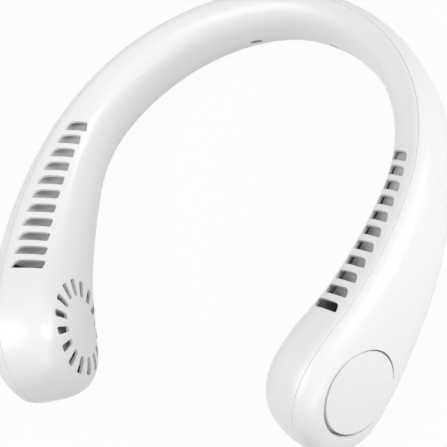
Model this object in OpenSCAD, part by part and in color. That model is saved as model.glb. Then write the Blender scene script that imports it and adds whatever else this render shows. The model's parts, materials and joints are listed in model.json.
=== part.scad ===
// Electric neck fan: a horseshoe casing in two shells with a blower in each end.
// Everything is drawn level with the row of air slots and then tilted back, so that the
// fan rests on its neck band and on both heads. Millimetres, +X right, +Y nape, +Z up.

/* [Neck band] */
// Radius of the centre line behind the neck
neck_r = 81.5; // [78:0.5:88]
// Height of the band at the nape
nape_h = 23.5; // [21:0.5:27]
// Thickness of the band at the nape
nape_t = 14.4; // [13.6:0.2:17]
// Height of the band's top above the row of slots, at the nape
nape_rise = 3.6; // [1:0.2:6]
// Backward tilt of the whole fan at rest
rest_tilt = 11.4; // [10:0.2:15]

/* [Arms] */
// Radius of the arms' inward curve
side_r = 175; // [150:5:220]
// Angle by which the arms turn inward
toe_in = 20; // [15:1:24]
// Height of the arm at its first slot
first_h = 27.9; // [26:0.5:32]
// Thickness of the arm at its first slot
first_t = 18.8; // [18:0.2:22]
// Height of the arm at its middle slot
mid_h = 37.2; // [34:0.5:41]
// Thickness of the arm at its middle slot
mid_t = 26.6; // [25:0.2:29]
// Height of the arm at its last slot
last_h = 45.1; // [43:0.5:49]
// Thickness of the arm at its last slot
last_t = 31; // [30:0.2:33]
// Length over which the outline blends from one of these sizes to the next
ease_l = 14; // [8:1:18]

/* [Heads] */
// Height of a head
head_h = 55.3; // [54:0.5:60]
// Thickness of a head between its flat faces
head_t = 33; // [32.6:0.2:36.6]
// Distance from the last slot to the head's centre
head_gap = 16.8; // [14:0.2:20]
// Length of the rounded end beyond the head's centre
tip_l = 28; // [27.4:0.2:33]

/* [Shells] */
// Wall of both shells
wall = 1.8; // [1.5:0.1:2]
// Gap along the seam between the shells
seam_gap = 0.2; // [0.1:0.05:0.3]

/* [Air slots] */
// Number of slots on each arm
slot_n = 11; // [8:1:11]
// Distance from the nape to the first slot, along the centre line
slot_s = 112.3; // [108:0.5:118]
// Distance between slots
slot_pitch = 6.8; // [6.4:0.1:7.2]
// Width of a slot
slot_w = 4; // [3:0.1:4.4]
// Length of the first slot
slot_first_l = 9.2; // [7:0.2:10]
// Length of the last slot
slot_last_l = 13.6; // [11:0.2:15]

/* [Intake] */
// Number of radial slots on each head's inner face
intake_n = 16; // [12:1:18]
// Radius where the radial slots start
intake_in_r = 12.6; // [12:0.2:15]
// Radius where the radial slots end
intake_out_r = 19.6; // [18.6:0.2:21.4]
// Width of a radial slot at its outer end
intake_w = 3.2; // [2.4:0.1:3.6]

/* [Side caps] */
// Diameter of the round cap on each head's outer face
cap_d = 37.6; // [37:0.2:38.4]
// Gap round the cap
cap_gap = 0.45; // [0.2:0.05:0.5]

/* [Blower] */
// Diameter of the impeller
wheel_d = 33; // [31:0.2:33.6]
// Number of blades
blade_n = 27; // [19:1:31]
// Height of the blades
blade_h = 8.3; // [7:0.1:8.6]
// Diameter of the motor shaft
shaft_d = 2; // [1.5:0.1:2.4]
// Running clearance between shaft and bearing, on the radius
shaft_fit = 0.03; // [0.02:0.01:0.06]
// Air gap between the stator and the magnet
air_gap = 0.4; // [0.3:0.05:0.5]

/* [Controls] */
// Diameter of the power button
button_d = 8; // [6:0.5:9]
// Travel of the power button
button_travel = 0.6; // [0.4:0.1:0.7]
// Width of the charging socket
port_w = 8.94; // [8.4:0.02:9]
// Height of the charging socket
port_h = 3.16; // [3:0.02:3.3]

/* [Cells] */
// Length of the cell in each head
cell_l = 33; // [28:1:34]
// Width of a cell
cell_w = 22.6; // [18:0.2:22.8]
// Thickness of a cell
cell_t = 7; // [5:0.2:7.2]

/* [Hidden] */

$fn = 96;
degrees = 180 / PI;
overrun = 1;
seat_gap = 0.1;

// Centre line: a half circle behind the neck, a wide arc inward, a short straight
neck_len = neck_r * PI / 2;
bend_s = neck_len + side_r * toe_in / degrees;
last_s = slot_s + (slot_n - 1) * slot_pitch;
mid_s = (slot_s + last_s) / 2;
head_s = last_s + head_gap;

function heading(s) =
    s < neck_len ? s / neck_r * degrees : min(90 + (s - neck_len) / side_r * degrees, 90 + toe_in);

function bend_point(h) =
    [neck_r - side_r + side_r * sin(h), side_r * cos(h)];

function centre(s) =
    let (h = heading(s))
    s < neck_len ? neck_r * [sin(h), cos(h)]
    : s < bend_s ? bend_point(h)
    : bend_point(90 + toe_in) + (s - bend_s) * [cos(h), -sin(h)];

// Outline of the arm in side view: heights of the top and bottom and half the thickness
first_rise = 1.9;
last_rise = 1;
head_rise = 2.6;
tip_z = -26.5;
brow_gap = 4.3;
brow_s = last_s + brow_gap;
top_line = [[0, nape_rise], [slot_s, first_rise], [last_s, last_rise], [head_s, head_rise]];
bottom_line = [[0, nape_rise - nape_h], [slot_s, first_rise - first_h],
    [mid_s, (first_rise + last_rise) / 2 - mid_h], [last_s, last_rise - last_h],
    [head_s, head_rise - head_h]];
half_line = [[0, nape_t / 2], [slot_s, first_t / 2], [mid_s, mid_t / 2], [last_s, last_t / 2],
    [head_s, head_t / 2]];
squareness_line = [[0, 2.5], [slot_s, 2.6], [last_s, 2.8], [head_s, 3.2]];
shoulder_line = [[0, 2.5], [slot_s, 4], [last_s, 4.4], [head_s, 3.5]];
keel_line = [[0, 2.5], [slot_s, 3.6], [last_s, 4], [head_s, 3.5]];
slope_line = [[0, 0.3], [last_s, 0.3], [head_s, 0.12]];
brow_power = 2.4;
tip_power = 3.26;
tip_outer_power = 2.6;
seam_share = 0.42;

ease_shares = [-1, -0.67, -0.33, 0, 0.33, 0.67, 1];

function total(v, i = 0) = i < len(v) ? v[i] + total(v, i + 1) : 0;
function eased(line, s) = total([for (o = ease_shares) lookup(s + o * ease_l, line)]) / len(ease_shares);
function signed_pow(x, k) = sign(x) * pow(abs(x), k);
function dome(t, k) = pow(max(1 - pow(max(t, 0), k), 0), 1 / k);

// Section at s, moved inward by inset: [top, bottom, half thickness, squareness, shift outward,
// squareness of the shoulder above the neck, squareness of the lower outer edge, share left
// outside the seam]. Towards the end the section shrinks about the seam, faster outside it,
// so the seam runs straight over the end.
function section(s, inset) =
    let (end_s = head_s + tip_l - inset,
        tip_t = (s - head_s) / (end_s - head_s),
        brow_t = (s - brow_s) / (end_s - brow_s),
        top = eased(top_line, s) - inset,
        bottom = eased(bottom_line, s) + inset,
        half = eased(half_line, s),
        seam_u = seam_share * half,
        outer_share = dome(tip_t, tip_outer_power),
        inner = (half - inset + seam_u) * dome(tip_t, tip_power),
        outer = (half - inset - seam_u) * outer_share)
    [tip_z + (top - tip_z) * dome(brow_t, brow_power),
        tip_z + (bottom - tip_z) * dome(tip_t, 2),
        (inner + outer) / 2, eased(squareness_line, s), seam_u + (outer - inner) / 2,
        eased(shoulder_line, s), eased(keel_line, s), outer_share];
function corner(q, u, n) = u < 0 && n > 0 ? q[5] : u > 0 && n < 0 ? q[6] : q[3];

function section_middle(s) = let (q = section(s, 0)) (q[0] + q[1]) / 2;

// Height of a skin at s, a distance u outward from the centre line; side is 1 on top, -1 below
function skin_z(s, u, side, inset) =
    let (q = section(s, inset),
        n = side * dome(min(abs(u - q[4]) / q[2], 1), corner(q, u - q[4], side)))
    (q[0] + q[1]) / 2 + (q[0] - q[1]) / 2 * n + eased(slope_line, s) * u * (1 + n) / 2;

function place(s, u, z) =
    let (h = heading(s), c = centre(s)) [c[0] + u * sin(h), c[1] + u * cos(h), z];

function skin_point(s, a, inset) =
    let (q = section(s, inset),
        e = corner(q, cos(a), sin(a)),
        n = signed_pow(sin(a), 2 / e),
        u = q[4] + q[2] * signed_pow(cos(a), 2 / e))
    place(s, u, (q[0] + q[1]) / 2 + (q[0] - q[1]) / 2 * n + eased(slope_line, s) * u * (1 + n) / 2);

// Stations along one arm, from the nape to just before the end
arm_steps = 34;
tip_steps = 9;
function stations(inset) = concat(
    [for (i = [0:arm_steps]) head_s * i / arm_steps],
    [for (i = [1:tip_steps - 1]) head_s + (tip_l - inset) * sin(90 * i / tip_steps)]);
last_row = arm_steps + tip_steps - 1;

// Angle on the section at which a shell starts; side is -1 for the inner shell, 1 for the outer
function seam_angle(s, side, inset, line) =
    let (q = section(s, inset),
        u = (seam_share * eased(half_line, s) - q[4] + side * q[7] * seam_gap / 2) / q[2])
    acos(pow(u, eased(line, s) / 2));

function shell_angles(s, side, inset, count) =
    let (top = seam_angle(s, side, inset, squareness_line),
        under = seam_angle(s, side, inset, keel_line),
        from = side < 0 ? top : -under,
        to = side < 0 ? 360 - under : top)
    [for (j = [0:count - 1]) from + (to - from) * j / (count - 1)];

function mirrored(p) = [-p[0], p[1], p[2]];

function shell_grid(side, inset, count) =
    let (list = stations(inset))
    [for (i = [-last_row:last_row]) for (a = shell_angles(list[abs(i)], side, inset, count))
        let (p = skin_point(list[abs(i)], a, inset)) i < 0 ? mirrored(p) : p];

function pole(inset) =
    let (u = seam_share * head_t / 2)
    place(head_s + tip_l - inset, u, tip_z + eased(slope_line, head_s + tip_l) * u / 2);

// A shell of one wall, from the left end round the nape to the right end
module shell(side, count) {
    rows = 2 * last_row + 1;
    skin = rows * count;
    points = concat(shell_grid(side, 0, count), shell_grid(side, wall, count),
        [mirrored(pole(0)), pole(0), mirrored(pole(wall)), pole(wall)]);
    poles = 2 * skin;
    far = (rows - 1) * count;
    faces = concat(
        [for (i = [0:rows - 2]) for (j = [0:count - 2])
            let (a = i * count + j, b = a + count)
            each [[a, b, a + 1], [a + 1, b, b + 1],
                [skin + a, skin + a + 1, skin + b], [skin + a + 1, skin + b + 1, skin + b]]],
        [for (j = [0:count - 2])
            each [[poles, j, j + 1], [poles + 1, far + j + 1, far + j],
                [poles + 2, skin + j + 1, skin + j], [poles + 3, skin + far + j, skin + far + j + 1]]],
        [for (i = [0:rows - 2])
            let (a = i * count, b = a + count, c = a + count - 1, d = c + count)
            each [[a, skin + a, b], [b, skin + a, skin + b],
                [c, d, skin + c], [d, skin + d, skin + c]]],
        [[poles, poles + 2, 0], [0, poles + 2, skin],
            [poles, count - 1, poles + 2], [count - 1, skin + count - 1, poles + 2],
            [far, skin + far, poles + 1], [poles + 1, skin + far, poles + 3],
            [far + count - 1, poles + 1, skin + far + count - 1],
            [poles + 1, poles + 3, skin + far + count - 1]]);
    polyhedron(points, faces, convexity = 6);
}

// The whole fan, tilted to its resting attitude and set on the ground
function tilted(p) = [p[0], p[1] * cos(rest_tilt) + p[2] * sin(rest_tilt),
    p[2] * cos(rest_tilt) - p[1] * sin(rest_tilt)];
outline = [for (s = stations(0)) for (a = [0:6:354]) tilted(skin_point(s, a, 0))];
ground_z = min([for (p = outline) p[2]]);
middle_y = (min([for (p = outline) p[1]]) + max([for (p = outline) p[1]])) / 2;

module rested() {
    translate([0, -middle_y, -ground_z]) rotate([-rest_tilt, 0, 0]) children();
}

// side is 1 for the right arm and -1 for the left
module on_side(side) {
    if (side < 0) mirror([1, 0, 0]) children();
    else children();
}

// Local x is outward, y towards the nape, z up
module at_path(s) {
    translate(place(s, 0, 0)) rotate([0, 0, 90 - heading(s)]) children();
}

head_z = section_middle(head_s);

// Local z is the head's axis, outward, with its zero in the middle; x is down, y towards the nape
module at_head() {
    translate([0, 0, head_z]) at_path(head_s) rotate([0, 90, 0]) children();
}

// Corners rounded by short curves
round_shares = [0, 0.3, 0.7, 1];
function toward(a, b, d) = a + (b - a) * min(d / norm(b - a), 0.5);
function rounded(p, r) =
    [for (i = [0:len(p) - 1])
        let (a = toward(p[i], p[(i + len(p) - 1) % len(p)], r), b = toward(p[i], p[(i + 1) % len(p)], r))
        for (t = round_shares) (1 - t) * (1 - t) * a + 2 * t * (1 - t) * p[i] + t * t * b];

module bar(length, width, height) {
    linear_extrude(height) {
        square([length - width, width], center = true);
        for (x = [-1, 1]) translate([x * (length - width) / 2, 0]) circle(d = width);
    }
}

// Air slots: all point the same way, slanting back towards the nape
slot_turn = 15.5;
slot_inset_first = 3.3;
slot_inset_last = 3.7;
slot_round = 1.1;
slot_slant_share = 0.45;
slot_inner_slant_share = 0.15;
slot_corner_share = 0.5;
slot_corner_from_share = 0.7;
slot_corner_to_share = 1.7;
slot_depth = 12;

module slot_cut(k) {
    t = k / (slot_n - 1);
    s = slot_s + k * slot_pitch;
    u = -slot_inset_first - t * (slot_inset_last - slot_inset_first);
    half_l = (slot_first_l + t * (slot_last_l - slot_first_l)) / 2;
    half_w = slot_w / 2;
    slant = slot_w * slot_slant_share;
    inner_slant = slot_w * slot_inner_slant_share;
    translate(place(s, u, skin_z(s, u, 1, 0) - slot_depth)) rotate([0, 0, -slot_turn])
        linear_extrude(2 * slot_depth)
            polygon(rounded([[half_l, -half_w],
                [half_l - slant * slot_corner_from_share, half_w * slot_corner_share],
                [half_l - slant * slot_corner_to_share, half_w],
                [-half_l, half_w], [-half_l + inner_slant, -half_w]], slot_round));
}

intake_neck_share = 0.7;
intake_round = 0.9;

module intake_cut() {
    half = intake_w / 2;
    depth = head_t / 4;
    for (i = [0:intake_n - 1]) rotate([0, 0, 360 * (i + 0.5) / intake_n])
        translate([0, 0, -head_t / 2 - overrun]) linear_extrude(depth)
            polygon(rounded([[intake_in_r, -half * intake_neck_share], [intake_out_r, -half],
                [intake_out_r, half], [intake_in_r, half * intake_neck_share]], intake_round));
}

// Two small oval vents low on the nape's inner face
vent_s = 21;
vent_z = -14.7;
vent_l = 5.4;
vent_w = 2.2;

module vent_cut() {
    translate([0, 0, vent_z]) at_path(vent_s)
        translate([-nape_t / 2 - overrun, 0, 0]) rotate([0, 90, 0]) rotate([0, 0, 90])
            bar(vent_l, vent_w, overrun + 2 * wall);
}

module inner_shell() {
    color("white") rested() difference() {
        shell(-1, 17);
        for (side = [-1, 1]) on_side(side) {
            for (k = [0:slot_n - 1]) slot_cut(k);
            at_head() intake_cut();
            vent_cut();
        }
    }
}

// Recess for the side cap, in a pad behind the outer face of each head
cap_r = cap_d / 2;
cap_hole_r = cap_r + cap_gap;
recess_depth = 4;
recess_z = head_t / 2 - recess_depth;
recess_floor = 1.2;
pad_depth = 2.7;
pad_top_z = head_t / 2 - pad_depth;
pad_rim = 1.7;
recess_turn = 40;
screw_r = 14.6;
screw_angles = [-16, 16, 180];
screw_hole_r = 1.15;

module at_screws() {
    for (a = screw_angles) rotate([0, 0, a]) translate([screw_r, 0, 0]) children();
}

// Controls sit on the outside of the left arm
control_beyond = 12;
control_s = mid_s + control_beyond;
button_step = 13;
lens_step = 7.6;
button_clear = 0.15;
button_hole_r = button_d / 2 + button_clear;
port_clear = 0.25;
lens_r = 0.9;
lens_clear = 0.1;
board_t = 1.2;
control_half = eased(half_line, control_s);
button_half = eased(half_line, control_s - button_step / 2);
control_z = section_middle(control_s - button_step / 2);
board_depth = 7.4;
board_x = control_half - board_depth;

module at_controls() {
    on_side(-1) translate([0, 0, control_z]) at_path(control_s) children();
}

module outward(x, y = 0) {
    translate([x, y, 0]) rotate([0, 90, 0]) rotate([0, 0, 90]) children();
}

module outer_shell() {
    color("white") rested() difference() {
        union() {
            shell(1, 13);
            for (side = [-1, 1]) on_side(side) at_head()
                translate([0, 0, recess_z - recess_floor]) rotate([0, 0, recess_turn])
                    cylinder(r = cap_hole_r + pad_rim, h = pad_top_z - recess_z + recess_floor);
        }
        for (side = [-1, 1]) on_side(side) at_head() {
            translate([0, 0, recess_z]) rotate([0, 0, recess_turn])
                cylinder(r = cap_hole_r, h = head_t / 2);
            at_screws() translate([0, 0, recess_z - recess_floor - overrun])
                cylinder(r = screw_hole_r, h = recess_floor + 2 * overrun);
        }
        at_controls() {
            outward(board_x, button_step / 2) cylinder(r = button_hole_r, h = head_t);
            outward(board_x, button_step / 2 - lens_step) cylinder(r = lens_r + lens_clear, h = head_t);
            outward(board_x, -button_step / 2)
                bar(port_w + 2 * port_clear, port_h + 2 * port_clear, head_t);
        }
    }
}

cap_edge_depth = 1.4;
cap_crown = 0.2;
cap_edge_z = head_t / 2 - cap_edge_depth;
cap_crown_z = head_t / 2 + cap_crown;
cap_wall = 1.5;
cap_skirt = 1.9;
cap_chamfer = 0.4;

module side_cap(side) {
    rise = cap_crown_z - cap_edge_z;
    crown_r = (cap_r * cap_r + rise * rise) / (2 * rise);
    steps = 12;
    color("whitesmoke") rested() on_side(side) at_head() rotate_extrude()
        polygon(concat(
            [for (i = [0:steps]) let (r = (cap_r - cap_chamfer) * i / steps)
                [r, cap_crown_z - crown_r + sqrt(crown_r * crown_r - r * r)]],
            [[cap_r, cap_edge_z - cap_chamfer], [cap_r, recess_z + seat_gap],
                [cap_r - cap_skirt, recess_z + seat_gap], [cap_r - cap_skirt, cap_edge_z - cap_wall],
                [0, cap_edge_z - cap_wall]]));
}

// Outside of the scroll, which the duct guide stops short of
scroll_to_r = 20.8;
scroll_wall = 1;

// Duct guide: a curved floor that rises towards the first slot and closes the duct there
guide_wall = 1.2;
guide_clear = 0.5;
guide_share = 0.36;
guide_in_share = 0.86;
guide_shallow = 5.2;
guide_deep = 24;
guide_lead = 5;
guide_from_s = slot_s - guide_lead;
guide_to_s = head_s - scroll_to_r - scroll_wall - overrun;
guide_steps = 16;
guide_arc = [0:15:90];
guide_power = 2.6;

function guide_point(s, a, off) =
    let (q = section(s, wall + guide_clear),
        t = (s - guide_from_s) / (guide_to_s - guide_from_s),
        depth = guide_shallow + (guide_deep - guide_shallow) * t,
        u_in = -q[2] * guide_in_share,
        u_out = q[2] * guide_share,
        u = u_in + (u_out - u_in) * pow(sin(a), 2 / guide_power),
        top = skin_z(s, u_out, 1, wall + guide_clear),
        n = pow(cos(a), 2 / guide_power))
    [u + off * sin(a), top - depth * n - off * cos(a)];

module duct_guide(side) {
    angles = [for (a = guide_arc) a];
    count = 2 * len(angles);
    ring = [for (i = [0:guide_steps])
        let (s = guide_from_s + (guide_to_s - guide_from_s) * i / guide_steps)
        [for (a = angles) let (p = guide_point(s, a, 0)) place(s, p[0], p[1]),
            for (j = [len(angles) - 1:-1:0]) let (p = guide_point(s, angles[j], guide_wall))
                place(s, p[0], min(p[1], skin_z(s, p[0], 1, wall + guide_clear)))]];
    points = [for (r = ring) each r];
    end = guide_steps * count;
    faces = concat(
        [for (i = [0:guide_steps - 1]) for (j = [0:count - 1])
            let (a = i * count + j, b = i * count + (j + 1) % count)
            each [[a, b, a + count], [b, b + count, a + count]]],
        [for (j = [0:len(angles) - 2]) let (k = count - 1 - j)
            each [[j, k, j + 1], [j + 1, k, k - 1],
                [end + j, end + j + 1, end + k], [end + j + 1, end + k - 1, end + k]]]);
    color("gainsboro") rested() on_side(side) polyhedron(points, faces, convexity = 4);
}

// Blower, in the head's own frame
wheel_r = wheel_d / 2;
wheel_clear = 2.9;
wheel_front_z = -head_t / 2 + wall + wheel_clear;
plate_t = 1.2;
blade_top_z = wheel_front_z + blade_h;
wheel_back_z = blade_top_z + plate_t;
hub_r = 10.9;
hub_wall = 1;
blade_t = 0.7;
blade_in_share = 0.74;
frame_gap = 1;
frame_z = wheel_back_z + frame_gap;
frame_t = 1.5;
tube_r = 3.4;
bearing_r = 2.4;
part_gap = 0.05;
cup_wall = 0.5;
magnet_t = 0.9;
hub_depth = 1;
hub_top_z = wheel_front_z + hub_depth;
cup_r = hub_r - hub_wall - part_gap;
magnet_r = cup_r - cup_wall - part_gap;
stator_r = magnet_r - magnet_t - air_gap;
cup_top_z = hub_top_z + hub_wall + part_gap;
motor_gap = 0.4;
motor_top_z = cup_top_z + cup_wall + motor_gap;
tube_gap = 0.3;
tube_top_z = motor_top_z + tube_gap;
motor_lift = 0.6;
motor_bottom_z = wheel_back_z - motor_lift;

// A forward-curved blade as a thin crescent between two radii
blade_turn = 24;
blade_steps = 5;
function blade_edge(off) = [for (i = [0:blade_steps])
    let (t = i / blade_steps,
        r = wheel_r * (blade_in_share + (1 - blade_in_share) * t),
        a = blade_turn * t * t)
    [r * cos(a) - off * sin(a), r * sin(a) + off * cos(a)]];

module blades() {
    inner = blade_edge(-blade_t / 2);
    outer = blade_edge(blade_t / 2);
    linear_extrude(blade_h + plate_t / 2) for (i = [0:blade_n - 1]) rotate(360 * i / blade_n)
        polygon(concat(inner, [for (j = [blade_steps:-1:0]) outer[j]]));
}

ring_w = 1.4;
ring_t = 1;
boss_r = 2.2;

module impeller(side) {
    color("lightslategray") rested() on_side(side) at_head() {
        translate([0, 0, wheel_front_z]) blades();
        translate([0, 0, wheel_front_z]) difference() {
            cylinder(r = wheel_r, h = ring_t);
            translate([0, 0, -overrun]) cylinder(r = wheel_r - ring_w, h = ring_t + 2 * overrun);
        }
        rotate_extrude() polygon([[shaft_d / 2 + part_gap, hub_top_z], [hub_r - hub_wall, hub_top_z],
            [hub_r, hub_top_z + hub_wall], [hub_r, blade_top_z], [wheel_r, blade_top_z],
            [wheel_r, wheel_back_z], [hub_r - hub_wall, wheel_back_z],
            [hub_r - hub_wall, hub_top_z + hub_wall], [shaft_d / 2 + part_gap, hub_top_z + hub_wall]]);
    }
}

module rotor_cup(side) {
    color("silver") rested() on_side(side) at_head() rotate_extrude()
        polygon([[shaft_d / 2 + part_gap, cup_top_z], [cup_r, cup_top_z], [cup_r, motor_bottom_z],
            [cup_r - cup_wall, motor_bottom_z], [cup_r - cup_wall, cup_top_z + cup_wall],
            [shaft_d / 2 + part_gap, cup_top_z + cup_wall]]);
}

module tube(outer, inner, from, to) {
    translate([0, 0, from]) difference() {
        cylinder(r = outer, h = to - from);
        translate([0, 0, -overrun]) cylinder(r = inner, h = to - from + 2 * overrun);
    }
}

module magnet_ring(side) {
    color("dimgray") rested() on_side(side) at_head()
        tube(magnet_r, magnet_r - magnet_t, motor_top_z, motor_bottom_z - motor_gap);
}

shaft_proud = 0.2;
shaft_short = 0.3;
shaft_top_z = hub_top_z - shaft_proud;
shaft_bottom_z = frame_z + frame_t - shaft_short;

module shaft(side) {
    color("lightgray") rested() on_side(side) at_head()
        translate([0, 0, shaft_top_z]) cylinder(d = shaft_d, h = shaft_bottom_z - shaft_top_z);
}

bearing_inset = 0.4;
bearing_seat = 0.3;

module bearing(side) {
    color("goldenrod") rested() on_side(side) at_head()
        tube(bearing_r, shaft_d / 2 + shaft_fit, tube_top_z + bearing_inset, frame_z + bearing_seat);
}

pole_n = 6;
pole_w = 1.8;
core_top_gap = 1.2;
core_bottom_gap = 1.6;
core_from_z = motor_top_z + core_top_gap;
core_to_z = motor_bottom_z - core_bottom_gap;
core_ring = 1.2;
shoe_t = 0.8;
shoe_angle = 44;

module sector(r, angle) {
    polygon([[0, 0], for (i = [0:6]) 2 * r * [cos(angle * (i / 6 - 0.5)), sin(angle * (i / 6 - 0.5))]]);
}

module stator_core(side) {
    inner = tube_r + part_gap;
    color("darkgray") rested() on_side(side) at_head()
        translate([0, 0, core_from_z]) linear_extrude(core_to_z - core_from_z) {
            difference() {
                circle(r = inner + core_ring);
                circle(r = inner);
            }
            for (i = [0:pole_n - 1]) rotate(360 * i / pole_n) {
                translate([inner + core_ring / 2, -pole_w / 2])
                    square([stator_r - shoe_t / 2 - inner - core_ring / 2, pole_w]);
                intersection() {
                    difference() {
                        circle(r = stator_r);
                        circle(r = stator_r - shoe_t);
                    }
                    sector(stator_r, shoe_angle);
                }
            }
        }
}

coil_gap = 0.1;
coil_t = 0.6;

module stator_coils(side) {
    from = tube_r + part_gap + core_ring + coil_gap;
    half = pole_w / 2 + coil_gap + coil_t;
    to = sqrt(pow(stator_r - shoe_t, 2) - half * half) - coil_gap;
    height = core_to_z - core_from_z;
    color("peru") rested() on_side(side) at_head()
        for (i = [0:pole_n - 1]) rotate([0, 0, 360 * i / pole_n])
            translate([from, 0, (core_from_z + core_to_z) / 2]) rotate([0, 90, 0]) linear_extrude(to - from)
                difference() {
                    square([height + 2 * (coil_gap + coil_t), 2 * half], center = true);
                    square([height + 2 * coil_gap, pole_w + 2 * coil_gap], center = true);
                }
}

// Frame: a plate with the bearing tube, the scroll wall round the wheel and posts for the screws
scroll_gap = 1.2;
scroll_from_r = wheel_r + scroll_gap;
scroll_h = 6;
scroll_steps = 30;
scroll_start = 112;
scroll_span = 300;
post_r = 2.2;
post_bore_r = 0.8;
shaft_floor = 0.2;
post_top_z = recess_z - recess_floor - seat_gap;

function scroll_edge(off) = [for (i = [0:scroll_steps])
    let (t = i / scroll_steps, a = scroll_start + scroll_span * t,
        r = scroll_from_r + (scroll_to_r - scroll_from_r) * t + off)
    r * [cos(a), sin(a)]];

module fan_frame(side) {
    outer = scroll_edge(scroll_wall);
    color("lightgray") rested() on_side(side) at_head() difference() {
        union() {
            translate([0, 0, frame_z]) cylinder(r = scroll_to_r, h = frame_t);
            translate([0, 0, frame_z - scroll_h]) linear_extrude(scroll_h + frame_t / 2)
                polygon(concat(scroll_edge(0), [for (j = [scroll_steps:-1:0]) outer[j]]));
            translate([0, 0, tube_top_z]) cylinder(r = tube_r, h = frame_z - tube_top_z + frame_t / 2);
            at_screws() translate([0, 0, frame_z + frame_t / 2])
                cylinder(r = post_r, h = post_top_z - frame_z - frame_t / 2);
        }
        translate([0, 0, tube_top_z - overrun])
            cylinder(r = bearing_r + part_gap,
                h = frame_z + bearing_seat + part_gap - tube_top_z + overrun);
        translate([0, 0, frame_z - overrun])
            cylinder(r = shaft_d / 2 + shaft_fit, h = frame_t + overrun - shaft_floor);
        at_screws() translate([0, 0, frame_z + frame_t + overrun])
            cylinder(r = post_bore_r + part_gap, h = head_t);
    }
}

screw_head_r = 1.9;
screw_head_h = 0.8;
screw_l = 8;
screw_slot_l = 2.66;
screw_slot_w = 0.475;

module frame_screws(side) {
    color("darkgray") rested() on_side(side) at_head() at_screws() difference() {
        union() {
            translate([0, 0, recess_z + seat_gap / 2]) cylinder(r = screw_head_r, h = screw_head_h);
            translate([0, 0, recess_z - screw_l]) cylinder(r = post_bore_r, h = screw_l + screw_head_h / 2);
        }
        for (a = [0, 90]) translate([0, 0, recess_z + screw_head_h]) rotate([0, 0, a])
            cube([screw_slot_l, screw_slot_w, screw_head_h], center = true);
    }
}

// Driver board behind each blower, the cell on it and a foam pad under the recess
driver_z = frame_z + frame_t + seat_gap;
driver_w = 20;
driver_l = 26;
chip_h = 0.9;
cell_z = driver_z + board_t + chip_h + seat_gap;
pad_z = cell_z + cell_t + seat_gap;
pad_to_z = recess_z - recess_floor - seat_gap;

module chip(x, y, l, w, h) {
    translate([x - l / 2, y - w / 2, 0]) cube([l, w, h]);
}

module driver_board(side) {
    color("seagreen") rested() on_side(side) at_head() translate([0, 0, driver_z]) {
        translate([-driver_w / 2, -driver_l / 2, 0]) cube([driver_w, driver_l, board_t]);
        translate([0, 0, board_t / 2]) {
            chip(-driver_w / 5, driver_l / 5, driver_w / 4, driver_w / 4, board_t / 2 + chip_h);
            chip(driver_w / 5, -driver_l / 5, driver_w / 3, driver_w / 6, board_t / 2 + chip_h);
        }
    }
}

module cell(side) {
    color("silver") rested() on_side(side) at_head() translate([0, 0, cell_z])
        linear_extrude(cell_t) polygon(rounded([[-cell_w / 2, -cell_l / 2], [cell_w / 2, -cell_l / 2],
            [cell_w / 2, cell_l / 2], [-cell_w / 2, cell_l / 2]], cell_t / 4));
}

module cell_pad(side) {
    color("darkslategray") rested() on_side(side) at_head() translate([-cell_w / 3, -cell_l / 3, pad_z])
        cube([cell_w * 2 / 3, cell_l * 2 / 3, pad_to_z - pad_z]);
}

// Control board, upright against the outer wall of the left arm
main_l = 30;
main_h = 14;

module main_board() {
    color("seagreen") rested() at_controls() {
        translate([board_x - board_t, -main_l / 2, -main_h / 2]) cube([board_t, main_l, main_h]);
        translate([board_x - board_t - chip_h, -main_l / 4, -main_h / 4])
            cube([chip_h + board_t / 2, main_l / 5, main_h / 2]);
    }
}

socket_wall = 0.3;
socket_mouth_in = 0.4;
tongue_h = 0.7;
tongue_w = 6.7;

module charge_socket() {
    depth = control_half - socket_mouth_in - board_x - seat_gap;
    color("silver") rested() at_controls() outward(board_x + seat_gap, -button_step / 2) {
        difference() {
            bar(port_w, port_h, depth);
            translate([0, 0, socket_wall * 4])
                bar(port_w - 2 * socket_wall, port_h - 2 * socket_wall, depth);
        }
        translate([-tongue_w / 2, -tongue_h / 2, socket_wall * 2]) cube([tongue_w, tongue_h, depth * 0.75]);
    }
}

switch_w = 4.5;
switch_h = 1.6;
plunger_h = 0.5;
flange = 0.9;
flange_t = 0.8;
flange_clear = 0.95;

module button_switch() {
    color("dimgray") rested() at_controls() outward(board_x + seat_gap, button_step / 2) {
        translate([-switch_w / 2, -switch_w / 2, 0]) cube([switch_w, switch_w, switch_h]);
        cylinder(d = switch_w / 2, h = switch_h + plunger_h);
    }
}

module power_button() {
    from = board_x + seat_gap + switch_h + plunger_h + button_travel + seat_gap;
    top = button_half + button_travel;
    inner_wall = button_half - wall - flange_clear;
    r = button_d / 2;
    color("white") rested() at_controls() outward(0, button_step / 2) {
        rotate_extrude() polygon([[0, from], [r + flange, inner_wall - flange_t],
            [r + flange, inner_wall], [r, inner_wall], [r, top - r / 8],
            [r * 0.9, top], [0, top]]);
    }
}

module indicator_lens() {
    color("azure") rested() at_controls() outward(board_x + seat_gap, button_step / 2 - lens_step)
        cylinder(r = lens_r, h = control_half - board_x - 2 * seat_gap);
}

// Cable along the outside of the duct, from the left head round the nape to the right head
cable_r = 1.1;
cable_sides = 8;
cable_share = 0.64;
cable_rise_share = 0.2;
cable_rings = 60;
cable_end_s = head_s - cap_r - pad_rim - head_gap / 4;

function cable_ring(s) =
    let (q = section(abs(s), wall), u = q[2] * cable_share, z = q[1] + (q[0] - q[1]) * cable_rise_share)
    [for (j = [0:cable_sides - 1]) let (a = 360 * j / cable_sides,
        p = place(abs(s), u + cable_r * cos(a), z + cable_r * sin(a))) s < 0 ? mirrored(p) : p];

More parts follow.
